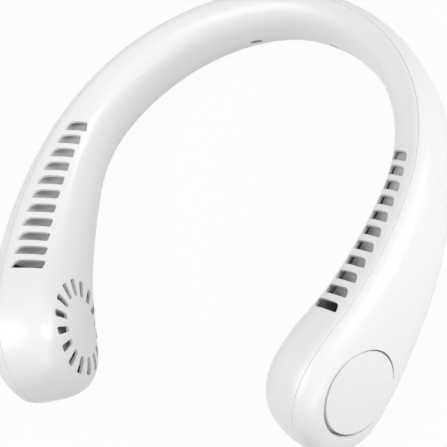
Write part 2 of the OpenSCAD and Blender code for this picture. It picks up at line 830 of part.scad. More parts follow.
module link_cable() {
    points = [for (i = [0:cable_rings]) each cable_ring(cable_end_s * (2 * i / cable_rings - 1))];
    end = cable_rings * cable_sides;
    faces = concat(
        [for (i = [0:cable_rings - 1]) for (j = [0:cable_sides - 1])
            let (a = i * cable_sides + j, b = i * cable_sides + (j + 1) % cable_sides)
            each [[a, a + cable_sides, b], [b, a + cable_sides, b + cable_sides]]],
        [[for (j = [0:cable_sides - 1]) j], [for (j = [cable_sides - 1:-1:0]) end + j]]);
    color("dimgray") rested() polyhedron(points, faces, convexity = 4);
}

inner_shell();
outer_shell();
side_cap(-1);  // left_side_cap
side_cap(1);  // right_side_cap
duct_guide(-1);  // left_duct_guide
duct_guide(1);  // right_duct_guide
fan_frame(-1);  // left_fan_frame
fan_frame(1);  // right_fan_frame
impeller(-1);  // left_impeller
impeller(1);  // right_impeller
rotor_cup(-1);  // left_rotor_cup
rotor_cup(1);  // right_rotor_cup
magnet_ring(-1);  // left_magnet_ring
magnet_ring(1);  // right_magnet_ring
shaft(-1);  // left_shaft
shaft(1);  // right_shaft
bearing(-1);  // left_bearing
bearing(1);  // right_bearing
stator_core(-1);  // left_stator_core
stator_core(1);  // right_stator_core
stator_coils(-1);  // left_stator_coils
stator_coils(1);  // right_stator_coils
cell(-1);  // left_cell
cell(1);  // right_cell
cell_pad(-1);  // left_cell_pad
cell_pad(1);  // right_cell_pad
driver_board(-1);  // left_driver_board
driver_board(1);  // right_driver_board
frame_screws(-1);  // left_frame_screws
frame_screws(1);  // right_frame_screws
main_board();
charge_socket();
button_switch();
power_button();
indicator_lens();
link_cable();
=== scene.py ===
import json
import math

import bmesh
import bpy
from mathutils import Matrix, Vector

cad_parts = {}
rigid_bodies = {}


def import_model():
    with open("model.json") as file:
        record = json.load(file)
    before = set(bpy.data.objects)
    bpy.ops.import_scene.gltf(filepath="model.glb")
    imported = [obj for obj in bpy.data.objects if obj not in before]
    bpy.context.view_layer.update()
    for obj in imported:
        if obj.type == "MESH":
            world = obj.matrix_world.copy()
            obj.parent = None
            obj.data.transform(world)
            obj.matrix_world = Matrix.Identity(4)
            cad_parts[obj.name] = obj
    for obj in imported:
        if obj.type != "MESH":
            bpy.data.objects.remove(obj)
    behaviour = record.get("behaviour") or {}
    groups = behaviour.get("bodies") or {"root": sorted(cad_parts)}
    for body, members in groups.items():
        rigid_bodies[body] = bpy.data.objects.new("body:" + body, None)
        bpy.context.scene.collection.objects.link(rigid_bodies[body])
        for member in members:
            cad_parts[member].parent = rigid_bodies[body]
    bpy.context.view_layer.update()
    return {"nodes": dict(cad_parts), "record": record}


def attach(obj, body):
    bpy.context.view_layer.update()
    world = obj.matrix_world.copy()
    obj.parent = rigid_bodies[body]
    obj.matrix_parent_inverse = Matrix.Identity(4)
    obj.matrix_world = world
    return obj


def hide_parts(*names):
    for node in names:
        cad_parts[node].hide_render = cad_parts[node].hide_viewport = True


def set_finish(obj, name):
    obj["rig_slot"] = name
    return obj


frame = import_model()
nodes = frame["nodes"]
scene = bpy.context.scene
milli = 0.001
print("frame loaded:", len(nodes), "nodes")


# the casing in millimetres, as in the solids but with a thinner wall and a finer seam
casing = {
    "neckR": 81.5,  # the centre line goes round the nape and bends in towards the heads
    "sideR": 175,
    "toeIn": 20,
    "tilt": 11.4,
    "middleY": -6.97581,
    "groundZ": -36.5053,
    "slotCount": 11,
    "slotS": 112.3,
    "slotPitch": 6.8,
    "headS": 197.1,
    "tipL": 28,
    "tipZ": -26.5,
    "browGap": 4.3,
    "browDome": 2.4,
    "underDome": 2,
    "innerDome": 3.26,
    "outerDome": 2.6,
    "easeL": 14,
    "easeShares": (-1, -0.67, -0.33, 0, 0.33, 0.67, 1),
    "seamShare": 0.42,
    "seamGap": 0.1,
    "wall": 1.2,
    "headT": 33,
}
neckL = casing["neckR"] * math.pi / 2
toeIn = math.radians(casing["toeIn"])
slotFirst = casing["slotS"]
slotLast = slotFirst + (casing["slotCount"] - 1) * casing["slotPitch"]
slotMid = (slotFirst + slotLast) / 2
headS = casing["headS"]

# what the section is at some distances along the centre line, from the middle of the nape
outlineTables = {
    "top": [(0, 3.6), (slotFirst, 1.9), (slotLast, 1.0), (headS, 2.6)],
    "bottom": [(0, -19.9), (slotFirst, -26.0), (slotMid, -35.75), (slotLast, -44.1), (headS, -52.7)],
    "half": [(0, 7.2), (slotFirst, 9.4), (slotMid, 13.3), (slotLast, 15.5), (headS, 16.5)],
    "square": [(0, 2.5), (slotFirst, 2.6), (slotLast, 2.8), (headS, 3.2)],
    "shoulder": [(0, 2.5), (slotFirst, 4), (slotLast, 4.4), (headS, 3.5)],
    "keel": [(0, 2.5), (slotFirst, 3.6), (slotLast, 4), (headS, 3.5)],
    "slope": [(0, 0.3), (slotLast, 0.3), (headS, 0.12)],
}


def lookup(table, s):
    if s <= table[0][0]:
        return table[0][1]
    for (a, u), (b, v) in zip(table, table[1:]):
        if s <= b:
            return u + (v - u) * (s - a) / (b - a)
    return table[-1][1]


def eased(name, s):
    shares = casing["easeShares"]
    table = outlineTables[name]
    return sum(lookup(table, s + k * casing["easeL"]) for k in shares) / len(shares)


def heading(s):
    if s < neckL:
        return s / casing["neckR"]
    return math.pi / 2 + min((s - neckL) / casing["sideR"], toeIn)


def centreLine(s):
    h = heading(s)
    if s < neckL:
        return Vector((casing["neckR"] * math.sin(h), casing["neckR"] * math.cos(h), 0))
    x = casing["neckR"] - casing["sideR"]
    point = Vector((x + casing["sideR"] * math.sin(h), casing["sideR"] * math.cos(h), 0))
    extra = max(s - neckL - casing["sideR"] * toeIn, 0)
    return point + extra * Vector((math.cos(h), -math.sin(h), 0))


def dome(t, power):
    return max(1 - max(t, 0) ** power, 0) ** (1 / power)


# the section across the arm at a distance s along the centre line, drawn in by inset
def sectionAt(s, inset=0.0):
    end = headS + casing["tipL"] - inset
    tip = (s - headS) / (end - headS)
    browS = slotLast + casing["browGap"]
    brow = (s - browS) / (end - browS)
    tipZ = casing["tipZ"]
    half = eased("half", s)
    seamU = casing["seamShare"] * half
    outerShare = dome(tip, casing["outerDome"])
    inner = (half - inset + seamU) * dome(tip, casing["innerDome"])
    outer = (half - inset - seamU) * outerShare
    return {
        "s": s,
        "top": tipZ + (eased("top", s) - inset - tipZ) * dome(brow, casing["browDome"]),
        "bottom": tipZ + (eased("bottom", s) + inset - tipZ) * dome(tip, casing["underDome"]),
        "half": (inner + outer) / 2,
        "seamU": seamU,
        "outerShare": outerShare,
        "shift": seamU + (outer - inner) / 2,
        "square": eased("square", s),
        "shoulder": eased("shoulder", s),
        "keel": eased("keel", s),
        "slope": eased("slope", s),
    }


def cornerPower(q, u, n):
    if u < 0 < n:
        return q["shoulder"]
    if n < 0 < u:
        return q["keel"]
    return q["square"]


def onPath(s, u, z):
    h = heading(s)
    return centreLine(s) + Vector((u * math.sin(h), u * math.cos(h), z))


# height on the section, where n goes from -1 at the bottom to 1 at the top
def heightOn(q, u, n):
    middle, reach = (q["top"] + q["bottom"]) / 2, (q["top"] - q["bottom"]) / 2
    return middle + reach * n + q["slope"] * u * (1 + n) / 2


# a point of the skin in the direction t round the section
def skinPoint(q, t):
    c, n = math.cos(t), math.sin(t)
    power = cornerPower(q, c, n)
    reach = (abs(c) ** power + abs(n) ** power) ** (-1 / power)
    u = q["shift"] + q["half"] * c * reach
    return onPath(q["s"], u, heightOn(q, u, n * reach))


def skinHeight(s, u, inset=0.0):
    q = sectionAt(s, inset)
    across = u - q["shift"]
    return heightOn(q, u, dome(min(abs(across) / q["half"], 1), cornerPower(q, across, 1)))


# directions at which a shell starts and ends on the section
def seamDirections(q, side):
    c = (q["seamU"] - q["shift"] + side * q["outerShare"] * casing["seamGap"] / 2) / q["half"]
    top = math.atan2((1 - c ** q["square"]) ** (1 / q["square"]), c)
    under = math.atan2((1 - c ** q["keel"]) ** (1 / q["keel"]), c)
    return (top, 2 * math.pi - under) if side < 0 else (-under, top)


def moved(x=0.0, y=0.0, z=0.0):
    return Matrix.Translation((x, y, z))


def turned(degrees, axis):
    return Matrix.Rotation(math.radians(degrees), 4, axis)


outward = turned(90, "Y") @ turned(90, "Z")  # a drawing's z goes outward, its x along the arm
toRest = (
    Matrix.Scale(milli, 4)
    @ moved(0, -casing["middleY"], -casing["groundZ"])
    @ turned(-casing["tilt"], "X")
)


def mirrorOf(side):
    return Matrix.Scale(-1, 4, (1, 0, 0)) if side < 0 else Matrix.Identity(4)


def pathFrame(s, side=1, z=0.0):
    turn = Matrix.Rotation(math.pi / 2 - heading(s), 4, "Z")
    return mirrorOf(side) @ Matrix.Translation(centreLine(s) + Vector((0, 0, z))) @ turn


headSection = sectionAt(headS)
headZ = (headSection["top"] + headSection["bottom"]) / 2


# the head's own frame: z outward along its axis, x down, y towards the nape
def headFrame(side):
    return pathFrame(headS, side, headZ) @ turned(90, "Y")


# small tools for meshes: how finely round shapes are drawn, and how near points are one
steps = {"corner": 5, "soft": 4, "disc": 128, "cap": 160, "button": 96, "lens": 48, "hole": 32}
merge = {"metres": 1e-7, "profile": 1e-5, "skin": 1e-4}  # the last two in millimetres


def newObject(name, bm, matrix=None):
    if matrix is not None:
        bmesh.ops.transform(bm, matrix=matrix, verts=bm.verts)
    bmesh.ops.remove_doubles(bm, verts=bm.verts, dist=merge["metres"])
    bmesh.ops.recalc_face_normals(bm, faces=bm.faces)
    mesh = bpy.data.meshes.new(name)
    bm.to_mesh(mesh)
    bm.free()
    thing = bpy.data.objects.new(name, mesh)
    scene.collection.objects.link(thing)
    return thing


def smooth(thing, angle=35):
    thing.data.shade_smooth()
    thing.data.set_sharp_from_angle(angle=math.radians(angle))


# turns all faces over where the one that comes first by the key looks down
def faceUp(thing, key):
    if max(thing.data.polygons, key=key).normal.z < 0:
        thing.data.flip_normals()


def thicken(thing, wall):
    walls = thing.modifiers.new("walls", "SOLIDIFY")
    walls.thickness = wall * milli
    walls.offset = -1
    return walls


def settle(thing):
    bpy.context.view_layer.update()
    graph = bpy.context.evaluated_depsgraph_get()
    mesh = bpy.data.meshes.new_from_object(thing.evaluated_get(graph))
    old = thing.data
    thing.modifiers.clear()
    thing.data = mesh
    bpy.data.meshes.remove(old)


def boolean(thing, cutter, operation):
    step = thing.modifiers.new("cut", "BOOLEAN")
    step.operation = operation
    step.solver = "MANIFOLD"
    step.object = cutter
    settle(thing)
    bpy.data.objects.remove(cutter)


def join(bm, part, matrix):
    bmesh.ops.transform(part, matrix=matrix, verts=part.verts)
    loose = bpy.data.meshes.new("loose")
    part.to_mesh(loose)
    part.free()
    bm.from_mesh(loose)
    bpy.data.meshes.remove(loose)


def oblong(halfL, halfW):
    return [(-halfL, -halfW), (halfL, -halfW), (halfL, halfW), (-halfL, halfW)]


def prism(bm, outline, roundness, depth, matrix):
    part = bmesh.new()
    corners = [part.verts.new((x, y, 0)) for x, y in outline]
    part.faces.new(corners)
    bmesh.ops.bevel(
        part,
        geom=corners,
        offset=roundness,
        offset_type="OFFSET",
        segments=steps["corner"],
        profile=0.5,
        affect="VERTICES",
        material=-1,
    )
    lifted = bmesh.ops.extrude_face_region(part, geom=list(part.faces))["geom"]
    top = [v for v in lifted if isinstance(v, bmesh.types.BMVert)]
    bmesh.ops.translate(part, verts=top, vec=(0, 0, depth))
    join(bm, part, matrix)


def disc(bm, radius, depth, matrix, segments):
    made = bmesh.ops.create_cone(
        bm, cap_ends=True, segments=segments, radius1=radius, radius2=radius, depth=depth
    )["verts"]
    bmesh.ops.transform(bm, matrix=matrix @ moved(z=depth / 2), verts=made)


def spun(name, profile, matrix, segments):
    bm = bmesh.new()
    verts = [bm.verts.new((r, 0, z)) for r, z in profile]
    edges = [bm.edges.new(pair) for pair in zip(verts, verts[1:])]
    bmesh.ops.spin(
        bm,
        geom=verts + edges,
        axis=(0, 0, 1),
        cent=(0, 0, 0),
        angle=2 * math.pi,
        steps=segments,
        use_merge=True,
    )
    bmesh.ops.remove_doubles(bm, verts=bm.verts, dist=merge["profile"])
    return newObject(name, bm, matrix)


# a profile with its corners rounded, for the spun pieces
def softened(profile, radius):
    soft = [profile[0]]
    for before, here, after in zip(profile, profile[1:], profile[2:]):
        a, b, c = (Vector(p) for p in (before, here, after))
        r = min(radius, (a - b).length / 2.1, (c - b).length / 2.1)  # under half of each side
        start, end = b + (a - b).normalized() * r, b + (c - b).normalized() * r
        for k in range(steps["soft"] + 1):
            t = k / steps["soft"]
            p = (1 - t) ** 2 * start + 2 * t * (1 - t) * b + t * t * end
            soft.append((p.x, p.y))
    return soft + [profile[-1]]


# shells
shellLook = {
    "ringGap": 1.25,
    "innerRing": 76,  # points round a ring of each shell
    "outerRing": 44,
    "tipSteps": 22,
    "seamSoft": 0.2,
    "seamSteps": 3,
    "seamAngle": 50,
}


def skinSheet(name, side, ringSteps):
    armSteps = round(headS / shellLook["ringGap"])
    tipSteps = shellLook["tipSteps"]
    distances = [headS * k / armSteps for k in range(armSteps + 1)]
    distances += [
        headS + casing["tipL"] * math.sin(math.pi / 2 * k / tipSteps) for k in range(1, tipSteps + 1)
    ]
    sections = [sectionAt(s) for s in distances]
    rows = [(q, -1) for q in reversed(sections[1:])] + [(q, 1) for q in sections]
    tipS = distances[-1]
    nearTip = sectionAt(tipS - merge["skin"])
    tipPoint = onPath(tipS, nearTip["seamU"], casing["tipZ"] + nearTip["slope"] * nearTip["seamU"] / 2)
    bm = bmesh.new()
    bmesh.ops.create_grid(bm, x_segments=len(rows) - 1, y_segments=ringSteps, size=1)
    bm.verts.ensure_lookup_table()
    for v in bm.verts:
        row = round((v.co.x + 1) / 2 * (len(rows) - 1))
        share = (v.co.y + 1) / 2
        q, hand = rows[row]
        if q["s"] == tipS:
            point = tipPoint
        else:
            start, end = seamDirections(q, side)
            point = skinPoint(q, start + (end - start) * share)
        v.co = Vector((point.x * hand, point.y, point.z))
    bmesh.ops.remove_doubles(bm, verts=bm.verts, dist=merge["skin"])
    return newObject(name, bm, toRest)


def shell(name, side, ringSteps, node):
    thing = skinSheet(name, side, ringSteps)
    faceUp(thing, lambda f: f.center.z)
    thicken(thing, casing["wall"]).use_even_offset = True
    edge = thing.modifiers.new("seam edge", "BEVEL")
    edge.width = shellLook["seamSoft"] * milli
    edge.segments = shellLook["seamSteps"]
    edge.limit_method = "ANGLE"
    edge.angle_limit = math.radians(shellLook["seamAngle"])
    edge.use_clamp_overlap = True
    settle(thing)
    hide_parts(node)
    return thing


# air slots, intake slots and vents, all cut from the inner shell
slots = {
    "width": 4.0,
    "firstL": 9.2,
    "lastL": 13.6,
    "firstIn": 3.3,
    "lastIn": 3.7,
    "turn": 15.5,
    "slant": 0.45,  # the outer end is cut off towards the nape in two slants
    "slantLow": 0.7,
    "slantHigh": 1.7,
    "innerSlant": 0.15,
    "corner": 0.85,
    "cut": 24,
}
intake = {
    "count": 16,
    "inR": 12.6,
    "outR": 19.6,
    "width": 3.2,
    "innerShare": 0.7,
    "corner": 0.8,
    "down": 2.2,
    "over": 1,
    "cut": 8.4,
}
vents = {"s": 21, "z": -14.7, "length": 5.4, "width": 2.2, "corner": 0.49, "fromX": -8.2, "cut": 4.6}


def slotOutline(length):
    halfL, halfW = length / 2, slots["width"] / 2
    slant = slots["width"] * slots["slant"]
    return [
        (halfL, -halfW),
        (halfL - slant * slots["slantLow"], halfW / 2),
        (halfL - slant * slots["slantHigh"], halfW),
        (-halfL, halfW),
        (-halfL + slots["width"] * slots["innerSlant"], -halfW),
    ]


def cutSlots(bm, side):
    turn = turned(-slots["turn"], "Z")
    for k in range(casing["slotCount"]):
        t = k / (casing["slotCount"] - 1)
        s = slotFirst + k * casing["slotPitch"]
        u = -slots["firstIn"] - t * (slots["lastIn"] - slots["firstIn"])
        outline = slotOutline(slots["firstL"] + t * (slots["lastL"] - slots["firstL"]))
        at = Matrix.Translation(onPath(s, u, skinHeight(s, u) - slots["cut"] / 2))
        prism(bm, outline, slots["corner"], slots["cut"], toRest @ mirrorOf(side) @ at @ turn)


def cutIntake(bm, side):
    half = intake["width"] / 2
    narrow = half * intake["innerShare"]
    outline = [
        (intake["inR"], -narrow),
        (intake["outR"], -half),
        (intake["outR"], half),
        (intake["inR"], narrow),
    ]
    middle = toRest @ headFrame(side) @ moved(intake["down"])
    low = moved(z=-casing["headT"] / 2 - intake["over"])
    for k in range(intake["count"]):
        turn = Matrix.Rotation(2 * math.pi * (k + 0.5) / intake["count"], 4, "Z")
        prism(bm, outline, intake["corner"], intake["cut"], middle @ turn @ low)


def cutVent(bm, side):
    outline = oblong(vents["length"] / 2, vents["width"] / 2)
    at = pathFrame(vents["s"], side, vents["z"]) @ moved(vents["fromX"])
    prism(bm, outline, vents["width"] * vents["corner"], vents["cut"], toRest @ at @ outward)


def innerCutter():
    bm = bmesh.new()
    for side in (-1, 1):
        cutSlots(bm, side)
        cutIntake(bm, side)
        cutVent(bm, side)
    return newObject("innerCutter", bm)


innerShell = shell("innerShell", -1, shellLook["innerRing"], "inner_shell")
boolean(innerShell, innerCutter(), "DIFFERENCE")
smooth(innerShell)
print("inner shell:", len(innerShell.data.polygons), "faces")


# outer shell, with the recesses for the caps and the holes for the controls
recess = {
    "r": 17.8,
    "up": 1.55,
    "forward": 0.8,
    "z": 12.5,
    "lean": 2.0,
    "floor": 1.2,
    "rim": 1.05,
    "topZ": 13.8,
    "cut": 17,
}
screws = {"r": 14.6, "angles": (-16, 16, 180), "holeR": 1.15, "below": 2.2, "cut": 3}
controls = {
    "s": 158.3,
    "z": -17.8254,
    "step": 13,
    "buttonR": 4.0,
    "buttonClear": 0.15,
    "lensStep": 7.4,
    "lensR": 0.8,
    "lensClear": 0.05,
    "portW": 8.94,
    "portH": 3.16,
    "portClear": 0.08,
    "portCorner": 0.98,
    "boardDepth": 7.4,
    "cut": 20,
}
halfStep = controls["step"] / 2
controlHalf = eased("half", controls["s"])
buttonHalf = eased("half", controls["s"] - halfStep)
boardX = controlHalf - controls["boardDepth"]


def controlFrame(x=0.0, y=0.0):
    return toRest @ pathFrame(controls["s"], -1, controls["z"]) @ moved(x, y) @ outward


def recessFrame(side, z):
    return toRest @ headFrame(side) @ moved(-recess["up"], -recess["forward"], z)


def outerPads():
    bm = bmesh.new()
    low = recess["z"] - recess["floor"]
    for side in (-1, 1):
        disc(bm, recess["r"] + recess["rim"], recess["topZ"] - low, recessFrame(side, low), steps["disc"])
    return newObject("pads", bm)


def recessCutter():
    bm = bmesh.new()
    lean = turned(recess["lean"], "X")
    for side in (-1, 1):
        disc(bm, recess["r"], recess["cut"], recessFrame(side, recess["z"]) @ lean, steps["cap"])
    return newObject("recesses", bm)


def holeCutter():
    bm = bmesh.new()
    for side in (-1, 1):
        head = toRest @ headFrame(side)
        for angle in screws["angles"]:
            at = turned(angle, "Z") @ moved(screws["r"], 0, recess["z"] - screws["below"])
            disc(bm, screws["holeR"], screws["cut"], head @ at, steps["hole"])
    cut = controls["cut"]
    buttonHole = controls["buttonR"] + controls["buttonClear"]
    disc(bm, buttonHole, cut, controlFrame(boardX, halfStep), steps["button"])
    lensHole = controls["lensR"] + controls["lensClear"]
    disc(bm, lensHole, cut, controlFrame(boardX, halfStep - controls["lensStep"]), steps["hole"])
    w, h = (controls[size] / 2 + controls["portClear"] for size in ("portW", "portH"))
    prism(bm, oblong(w, h), h * controls["portCorner"], cut, controlFrame(boardX, -halfStep))
    return newObject("holes", bm)


outerShell = shell("outerShell", 1, shellLook["outerRing"], "outer_shell")
boolean(outerShell, outerPads(), "UNION")
boolean(outerShell, recessCutter(), "DIFFERENCE")
boolean(outerShell, holeCutter(), "DIFFERENCE")
smooth(outerShell)
print("outer shell:", len(outerShell.data.polygons), "faces")

for piece in (innerShell, outerShell):
    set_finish(piece, "shell_white")
    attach(piece, "housing")


# side caps: shallow domes with a soft edge and a short skirt
cap = {
    "r": 16.8,
    "edgeZ": 15.0,
    "crownZ": 15.8,
    "lowZ": 13.5,
    "wall": 0.9,
    "skirt": 1.9,
    "edgeSoft": 0.35,
    "lean": 3.0,
    "up": 0.85,
    "forward": 0.5,
    "rings": 20,
    "smooth": 40,
}


def sideCap(name, side, node):
    r, edgeZ, lowZ = cap["r"], cap["edgeZ"], cap["lowZ"]
    rise = cap["crownZ"] - edgeZ
    crownR = (r**2 + rise**2) / (2 * rise)
    radii = [r * k / cap["rings"] for k in range(cap["rings"] + 1)]
    top = [(x, cap["crownZ"] - crownR + math.sqrt(crownR**2 - x**2)) for x in radii]
    rim = softened([top[-2], top[-1], (r, lowZ), (r - cap["skirt"], lowZ)], cap["edgeSoft"])
    inner = [(r - cap["skirt"], edgeZ - cap["wall"]), (0, edgeZ - cap["wall"])]
    seat = headFrame(side) @ moved(-cap["up"], -cap["forward"], edgeZ)
    lean = turned(-cap["lean"], "Y") @ moved(z=-edgeZ)
    piece = spun(name, top[:-2] + rim + inner, toRest @ seat @ lean, steps["cap"])
    smooth(piece, cap["smooth"])
    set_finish(piece, "cap_white")
    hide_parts(node)
    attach(piece, "housing")


sideCap("sideCapLeft", -1, "left_side_cap")
sideCap("sideCapRight", 1, "right_side_cap")
print("side caps done")


# curved floor of the duct under the air slots
duct = {
    "wall": 1.2,
    "clear": 0.5,
    "outShare": 0.36,
    "inShare": 0.86,
    "shallow": 4.0,
    "deep": 9.5,
    "power": 2.6,
    "before": 5,  # starts before the first slot and ends before the last one
    "leftEnd": 3.4,
    "rightEnd": 5.4,
    "along": 60,
    "across": 30,
}


def ductGuide(name, side, node):
    along = duct["along"]
    inset = casing["wall"] + duct["clear"]
    ductFrom = slotFirst - duct["before"]
    ductTo = slotLast - (duct["rightEnd"] if side > 0 else duct["leftEnd"])
    bm = bmesh.new()
    bmesh.ops.create_grid(bm, x_segments=along, y_segments=duct["across"], size=1)
    rows = {}
    for v in bm.verts:
        t = (v.co.x + 1) / 2
        angle = (v.co.y + 1) / 2 * math.pi / 2
        s = ductFrom + (ductTo - ductFrom) * t
        row = round(t * along)
        if row not in rows:
            q = sectionAt(s, inset)
            rows[row] = (q, skinHeight(s, q["half"] * duct["outShare"], inset))
        q, top = rows[row]
        inU, outU = -q["half"] * duct["inShare"], q["half"] * duct["outShare"]
        u = inU + (outU - inU) * math.sin(angle) ** (2 / duct["power"])
        depth = duct["shallow"] + (duct["deep"] - duct["shallow"]) * t
        v.co = onPath(s, u, top - depth * max(math.cos(angle), 0) ** (2 / duct["power"]))
    piece = newObject(name, bm, toRest @ mirrorOf(side))
    faceUp(piece, lambda f: abs(f.normal.z))
    thicken(piece, duct["wall"])
    settle(piece)
    smooth(piece)
    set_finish(piece, "guide_grey")
    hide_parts(node)
    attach(piece, "housing")


ductGuide("ductGuideLeft", -1, "left_duct_guide")
ductGuide("ductGuideRight", 1, "right_duct_guide")
print("duct guides done")


# power button on the left arm, dished and held from inside by its flange
button = {
    "travel": 0.6,
    "dish": 0.35,
    "dishShare": 0.78,
    "dishSteps": 8,
    "rimShare": 0.9,
    "rimDrop": 0.45,
    "edge": 0.5,
    "flange": 0.9,
    "flangeT": 0.8,
    "clear": 0.95,
    "stemShare": 0.5,
    "stemX": 2.9,
    "smooth": 40,
}


def powerButton():
    r = controls["buttonR"]
    topX = buttonHalf + button["travel"]
    wallX = buttonHalf - casing["wall"] - button["clear"]
    stemX = boardX + button["stemX"]
    dish = [(0, topX - button["dish"])]
    for k in range(1, button["dishSteps"] + 1):
        t = k / button["dishSteps"]
        dish.append((r * button["dishShare"] * t, topX - button["dish"] * (1 - t**2)))
    rim = [
        dish[-1],
        (r * button["rimShare"], topX),
        (r, topX - button["rimDrop"]),
        (r, wallX),
        (r + button["flange"], wallX),
        (r + button["flange"], wallX - button["flangeT"]),
        (r * button["stemShare"], stemX),
        (0, stemX),
    ]
    profile = dish + softened(rim, button["edge"])[1:]
    piece = spun("powerButton", profile, controlFrame(0, halfStep), steps["button"])
    smooth(piece, button["smooth"])
    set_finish(piece, "button_white")
    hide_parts("power_button")
    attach(piece, "button")


# indicator lens between the button and the socket
lens = {"sink": 0.1, "bevel": 0.1, "above": 0.1, "edge": 0.2, "smooth": 40}


def indicatorLens():
    r = controls["lensR"]
    topX = controlHalf - lens["sink"]
    lowX = boardX + lens["above"]
    profile = softened([(0, topX), (r, topX - lens["bevel"]), (r, lowX), (0, lowX)], lens["edge"])
    place = controlFrame(0, halfStep - controls["lensStep"])
    piece = spun("indicatorLens", profile, place, steps["lens"])
    smooth(piece, lens["smooth"])
    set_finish(piece, "lens_clear")
    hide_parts("indicator_lens")
    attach(piece, "housing")


powerButton()
indicatorLens()
print("controls done")


# materials: one class wraps a number socket so that shader maths reads as plain sums
class Value:
    def __init__(self, paint, socket):
        self.paint = paint
        self.socket = socket

    def sum(self, operation, a, b):
        made = self.paint.node("ShaderNodeMath", {"operation": operation}, {0: a, 1: b})
        return Value(self.paint, made.outputs[0])

    def __add__(self, other):
        return self.sum("ADD", self, other)

    def __radd__(self, other):
        return self.sum("ADD", other, self)

    def __sub__(self, other):
        return self.sum("SUBTRACT", self, other)

    def __rsub__(self, other):
        return self.sum("SUBTRACT", other, self)

    def __mul__(self, other):
        return self.sum("MULTIPLY", self, other)

    def __rmul__(self, other):
        return self.sum("MULTIPLY", other, self)


# the nodes of a new material, or of a new world
class Paint:
    def __init__(self, name, home=bpy.data.materials):
        self.owner = home.new(name)
        self.owner.use_nodes = True
        self.tree = self.owner.node_tree
        self.tree.nodes.clear()

    def node(self, kind, settings=None, inputs=None):
        made = self.tree.nodes.new(kind)
        for key, value in (settings or {}).items():
            if key == "stops":
                ramp = made.color_ramp
                while len(ramp.elements) < len(value):
                    ramp.elements.new(0.5)
                for element, (at, colour) in zip(ramp.elements, value):
                    element.position = at
                    element.color = (*colour, 1)
            else:
                setattr(made, key, value)
        for key, value in (inputs or {}).items():
            if isinstance(value, Value):
                value = value.socket
            if isinstance(value, bpy.types.NodeSocket):
                self.tree.links.new(value, made.inputs[key])
            else:
                made.inputs[key].default_value = value
        return made

    def place(self):
        return self.node("ShaderNodeTexCoord").outputs["Object"]

    def noise(self, scale, detail, rough=0.5, place=None):
        inputs = {"Vector": place or self.place(), "Scale": scale, "Detail": detail, "Roughness": rough}
        return Value(self, self.node("ShaderNodeTexNoise", inputs=inputs).outputs[0])

    def cells(self, feature, scale):
        made = self.node(
            "ShaderNodeTexVoronoi", {"feature": feature}, {"Vector": self.place(), "Scale": scale}
        )
        return Value(self, made.outputs["Distance"])

    def mix(self, share, a, b):
        made = self.node(
            "ShaderNodeMix", {"data_type": "RGBA"}, {"Factor": share, "A": (*a, 1), "B": (*b, 1)}
        )
        return made.outputs["Result"]

    def bump(self, height, strength, distance):
        made = self.node(
            "ShaderNodeBump", inputs={"Height": height, "Strength": strength, "Distance": distance}
        )
        return made.outputs[0]

    def finish(self, **inputs):
        named = {key.replace("_", " "): value for key, value in inputs.items()}
        shader = self.node("ShaderNodeBsdfPrincipled", inputs=named)
        self.node("ShaderNodeOutputMaterial", inputs={"Surface": shader.outputs[0]})
        return self.owner


# moulded plastics: slight mottling of colour and gloss, and a fine ripple
plasticNoise = {"cloud": 28, "cloudDetail": 2, "grainDetail": 4, "grainRough": 0.6, "bump": 0.5}
plastics = {
    "shell_white": {
        "name": "shellWhite",
        "light": (0.84, 0.84, 0.838),
        "dark": (0.81, 0.81, 0.808),
        "gloss": 0.3,
        "vary": 0.05,
        "grain": 500,
        "coat": 0.22,
        "coatGloss": 0.26,
        "depth": 0.000004,
    },
    "cap_white": {
        "name": "capWhite",
        "light": (0.83, 0.83, 0.828),
        "dark": (0.8, 0.8, 0.798),
        "gloss": 0.34,
        "vary": 0.05,
        "grain": 500,
        "coat": 0.2,
        "coatGloss": 0.28,
        "depth": 0.000004,
    },
    "button_white": {
        "name": "buttonWhite",
        "light": (0.8, 0.8, 0.8),
        "dark": (0.76, 0.76, 0.76),
        "gloss": 0.34,
        "vary": 0.08,
        "grain": 1400,
        "coat": 0.15,
        "coatGloss": 0.2,
    },
    "guide_grey": {
        "name": "guideGrey",
        "light": (0.66, 0.665, 0.67),
        "dark": (0.6, 0.605, 0.61),
        "gloss": 0.42,
        "vary": 0.1,
        "grain": 1200,
    },
    "frame_plastic": {
        "name": "framePlastic",
        "light": (0.04, 0.04, 0.042),
        "dark": (0.025, 0.025, 0.027),
        "gloss": 0.45,
        "vary": 0.1,
        "grain": 1300,
    },
    "impeller_plastic": {
        "name": "impellerPlastic",
        "light": (0.74, 0.745, 0.75),
        "dark": (0.68, 0.685, 0.69),
        "gloss": 0.4,
        "vary": 0.12,
        "grain": 1500,
    },
    "switch_black": {
        "name": "switchBlack",
        "light": (0.03, 0.03, 0.032),
        "dark": (0.018, 0.018, 0.02),
        "gloss": 0.45,
        "vary": 0.12,
        "grain": 1700,
    },
    "cable_grey": {
        "name": "cableGrey",
        "light": (0.12, 0.12, 0.125),
        "dark": (0.08, 0.08, 0.085),
        "gloss": 0.5,
        "vary": 0.1,
        "grain": 1500,
    },
}


def mouldedPlastic(name, light, dark, gloss, vary, grain, coat=0.0, coatGloss=0.1, depth=0.00002):
    paint = Paint(name)
    cloud = paint.noise(plasticNoise["cloud"], plasticNoise["cloudDetail"])
    fine = paint.noise(grain, plasticNoise["grainDetail"], plasticNoise["grainRough"])
    return paint.finish(
        Base_Color=paint.mix(cloud, light, dark),
        Roughness=gloss + vary * fine,
        Coat_Weight=coat,
        Coat_Roughness=coatGloss,
        Normal=paint.bump(fine, plasticNoise["bump"], depth),
    )


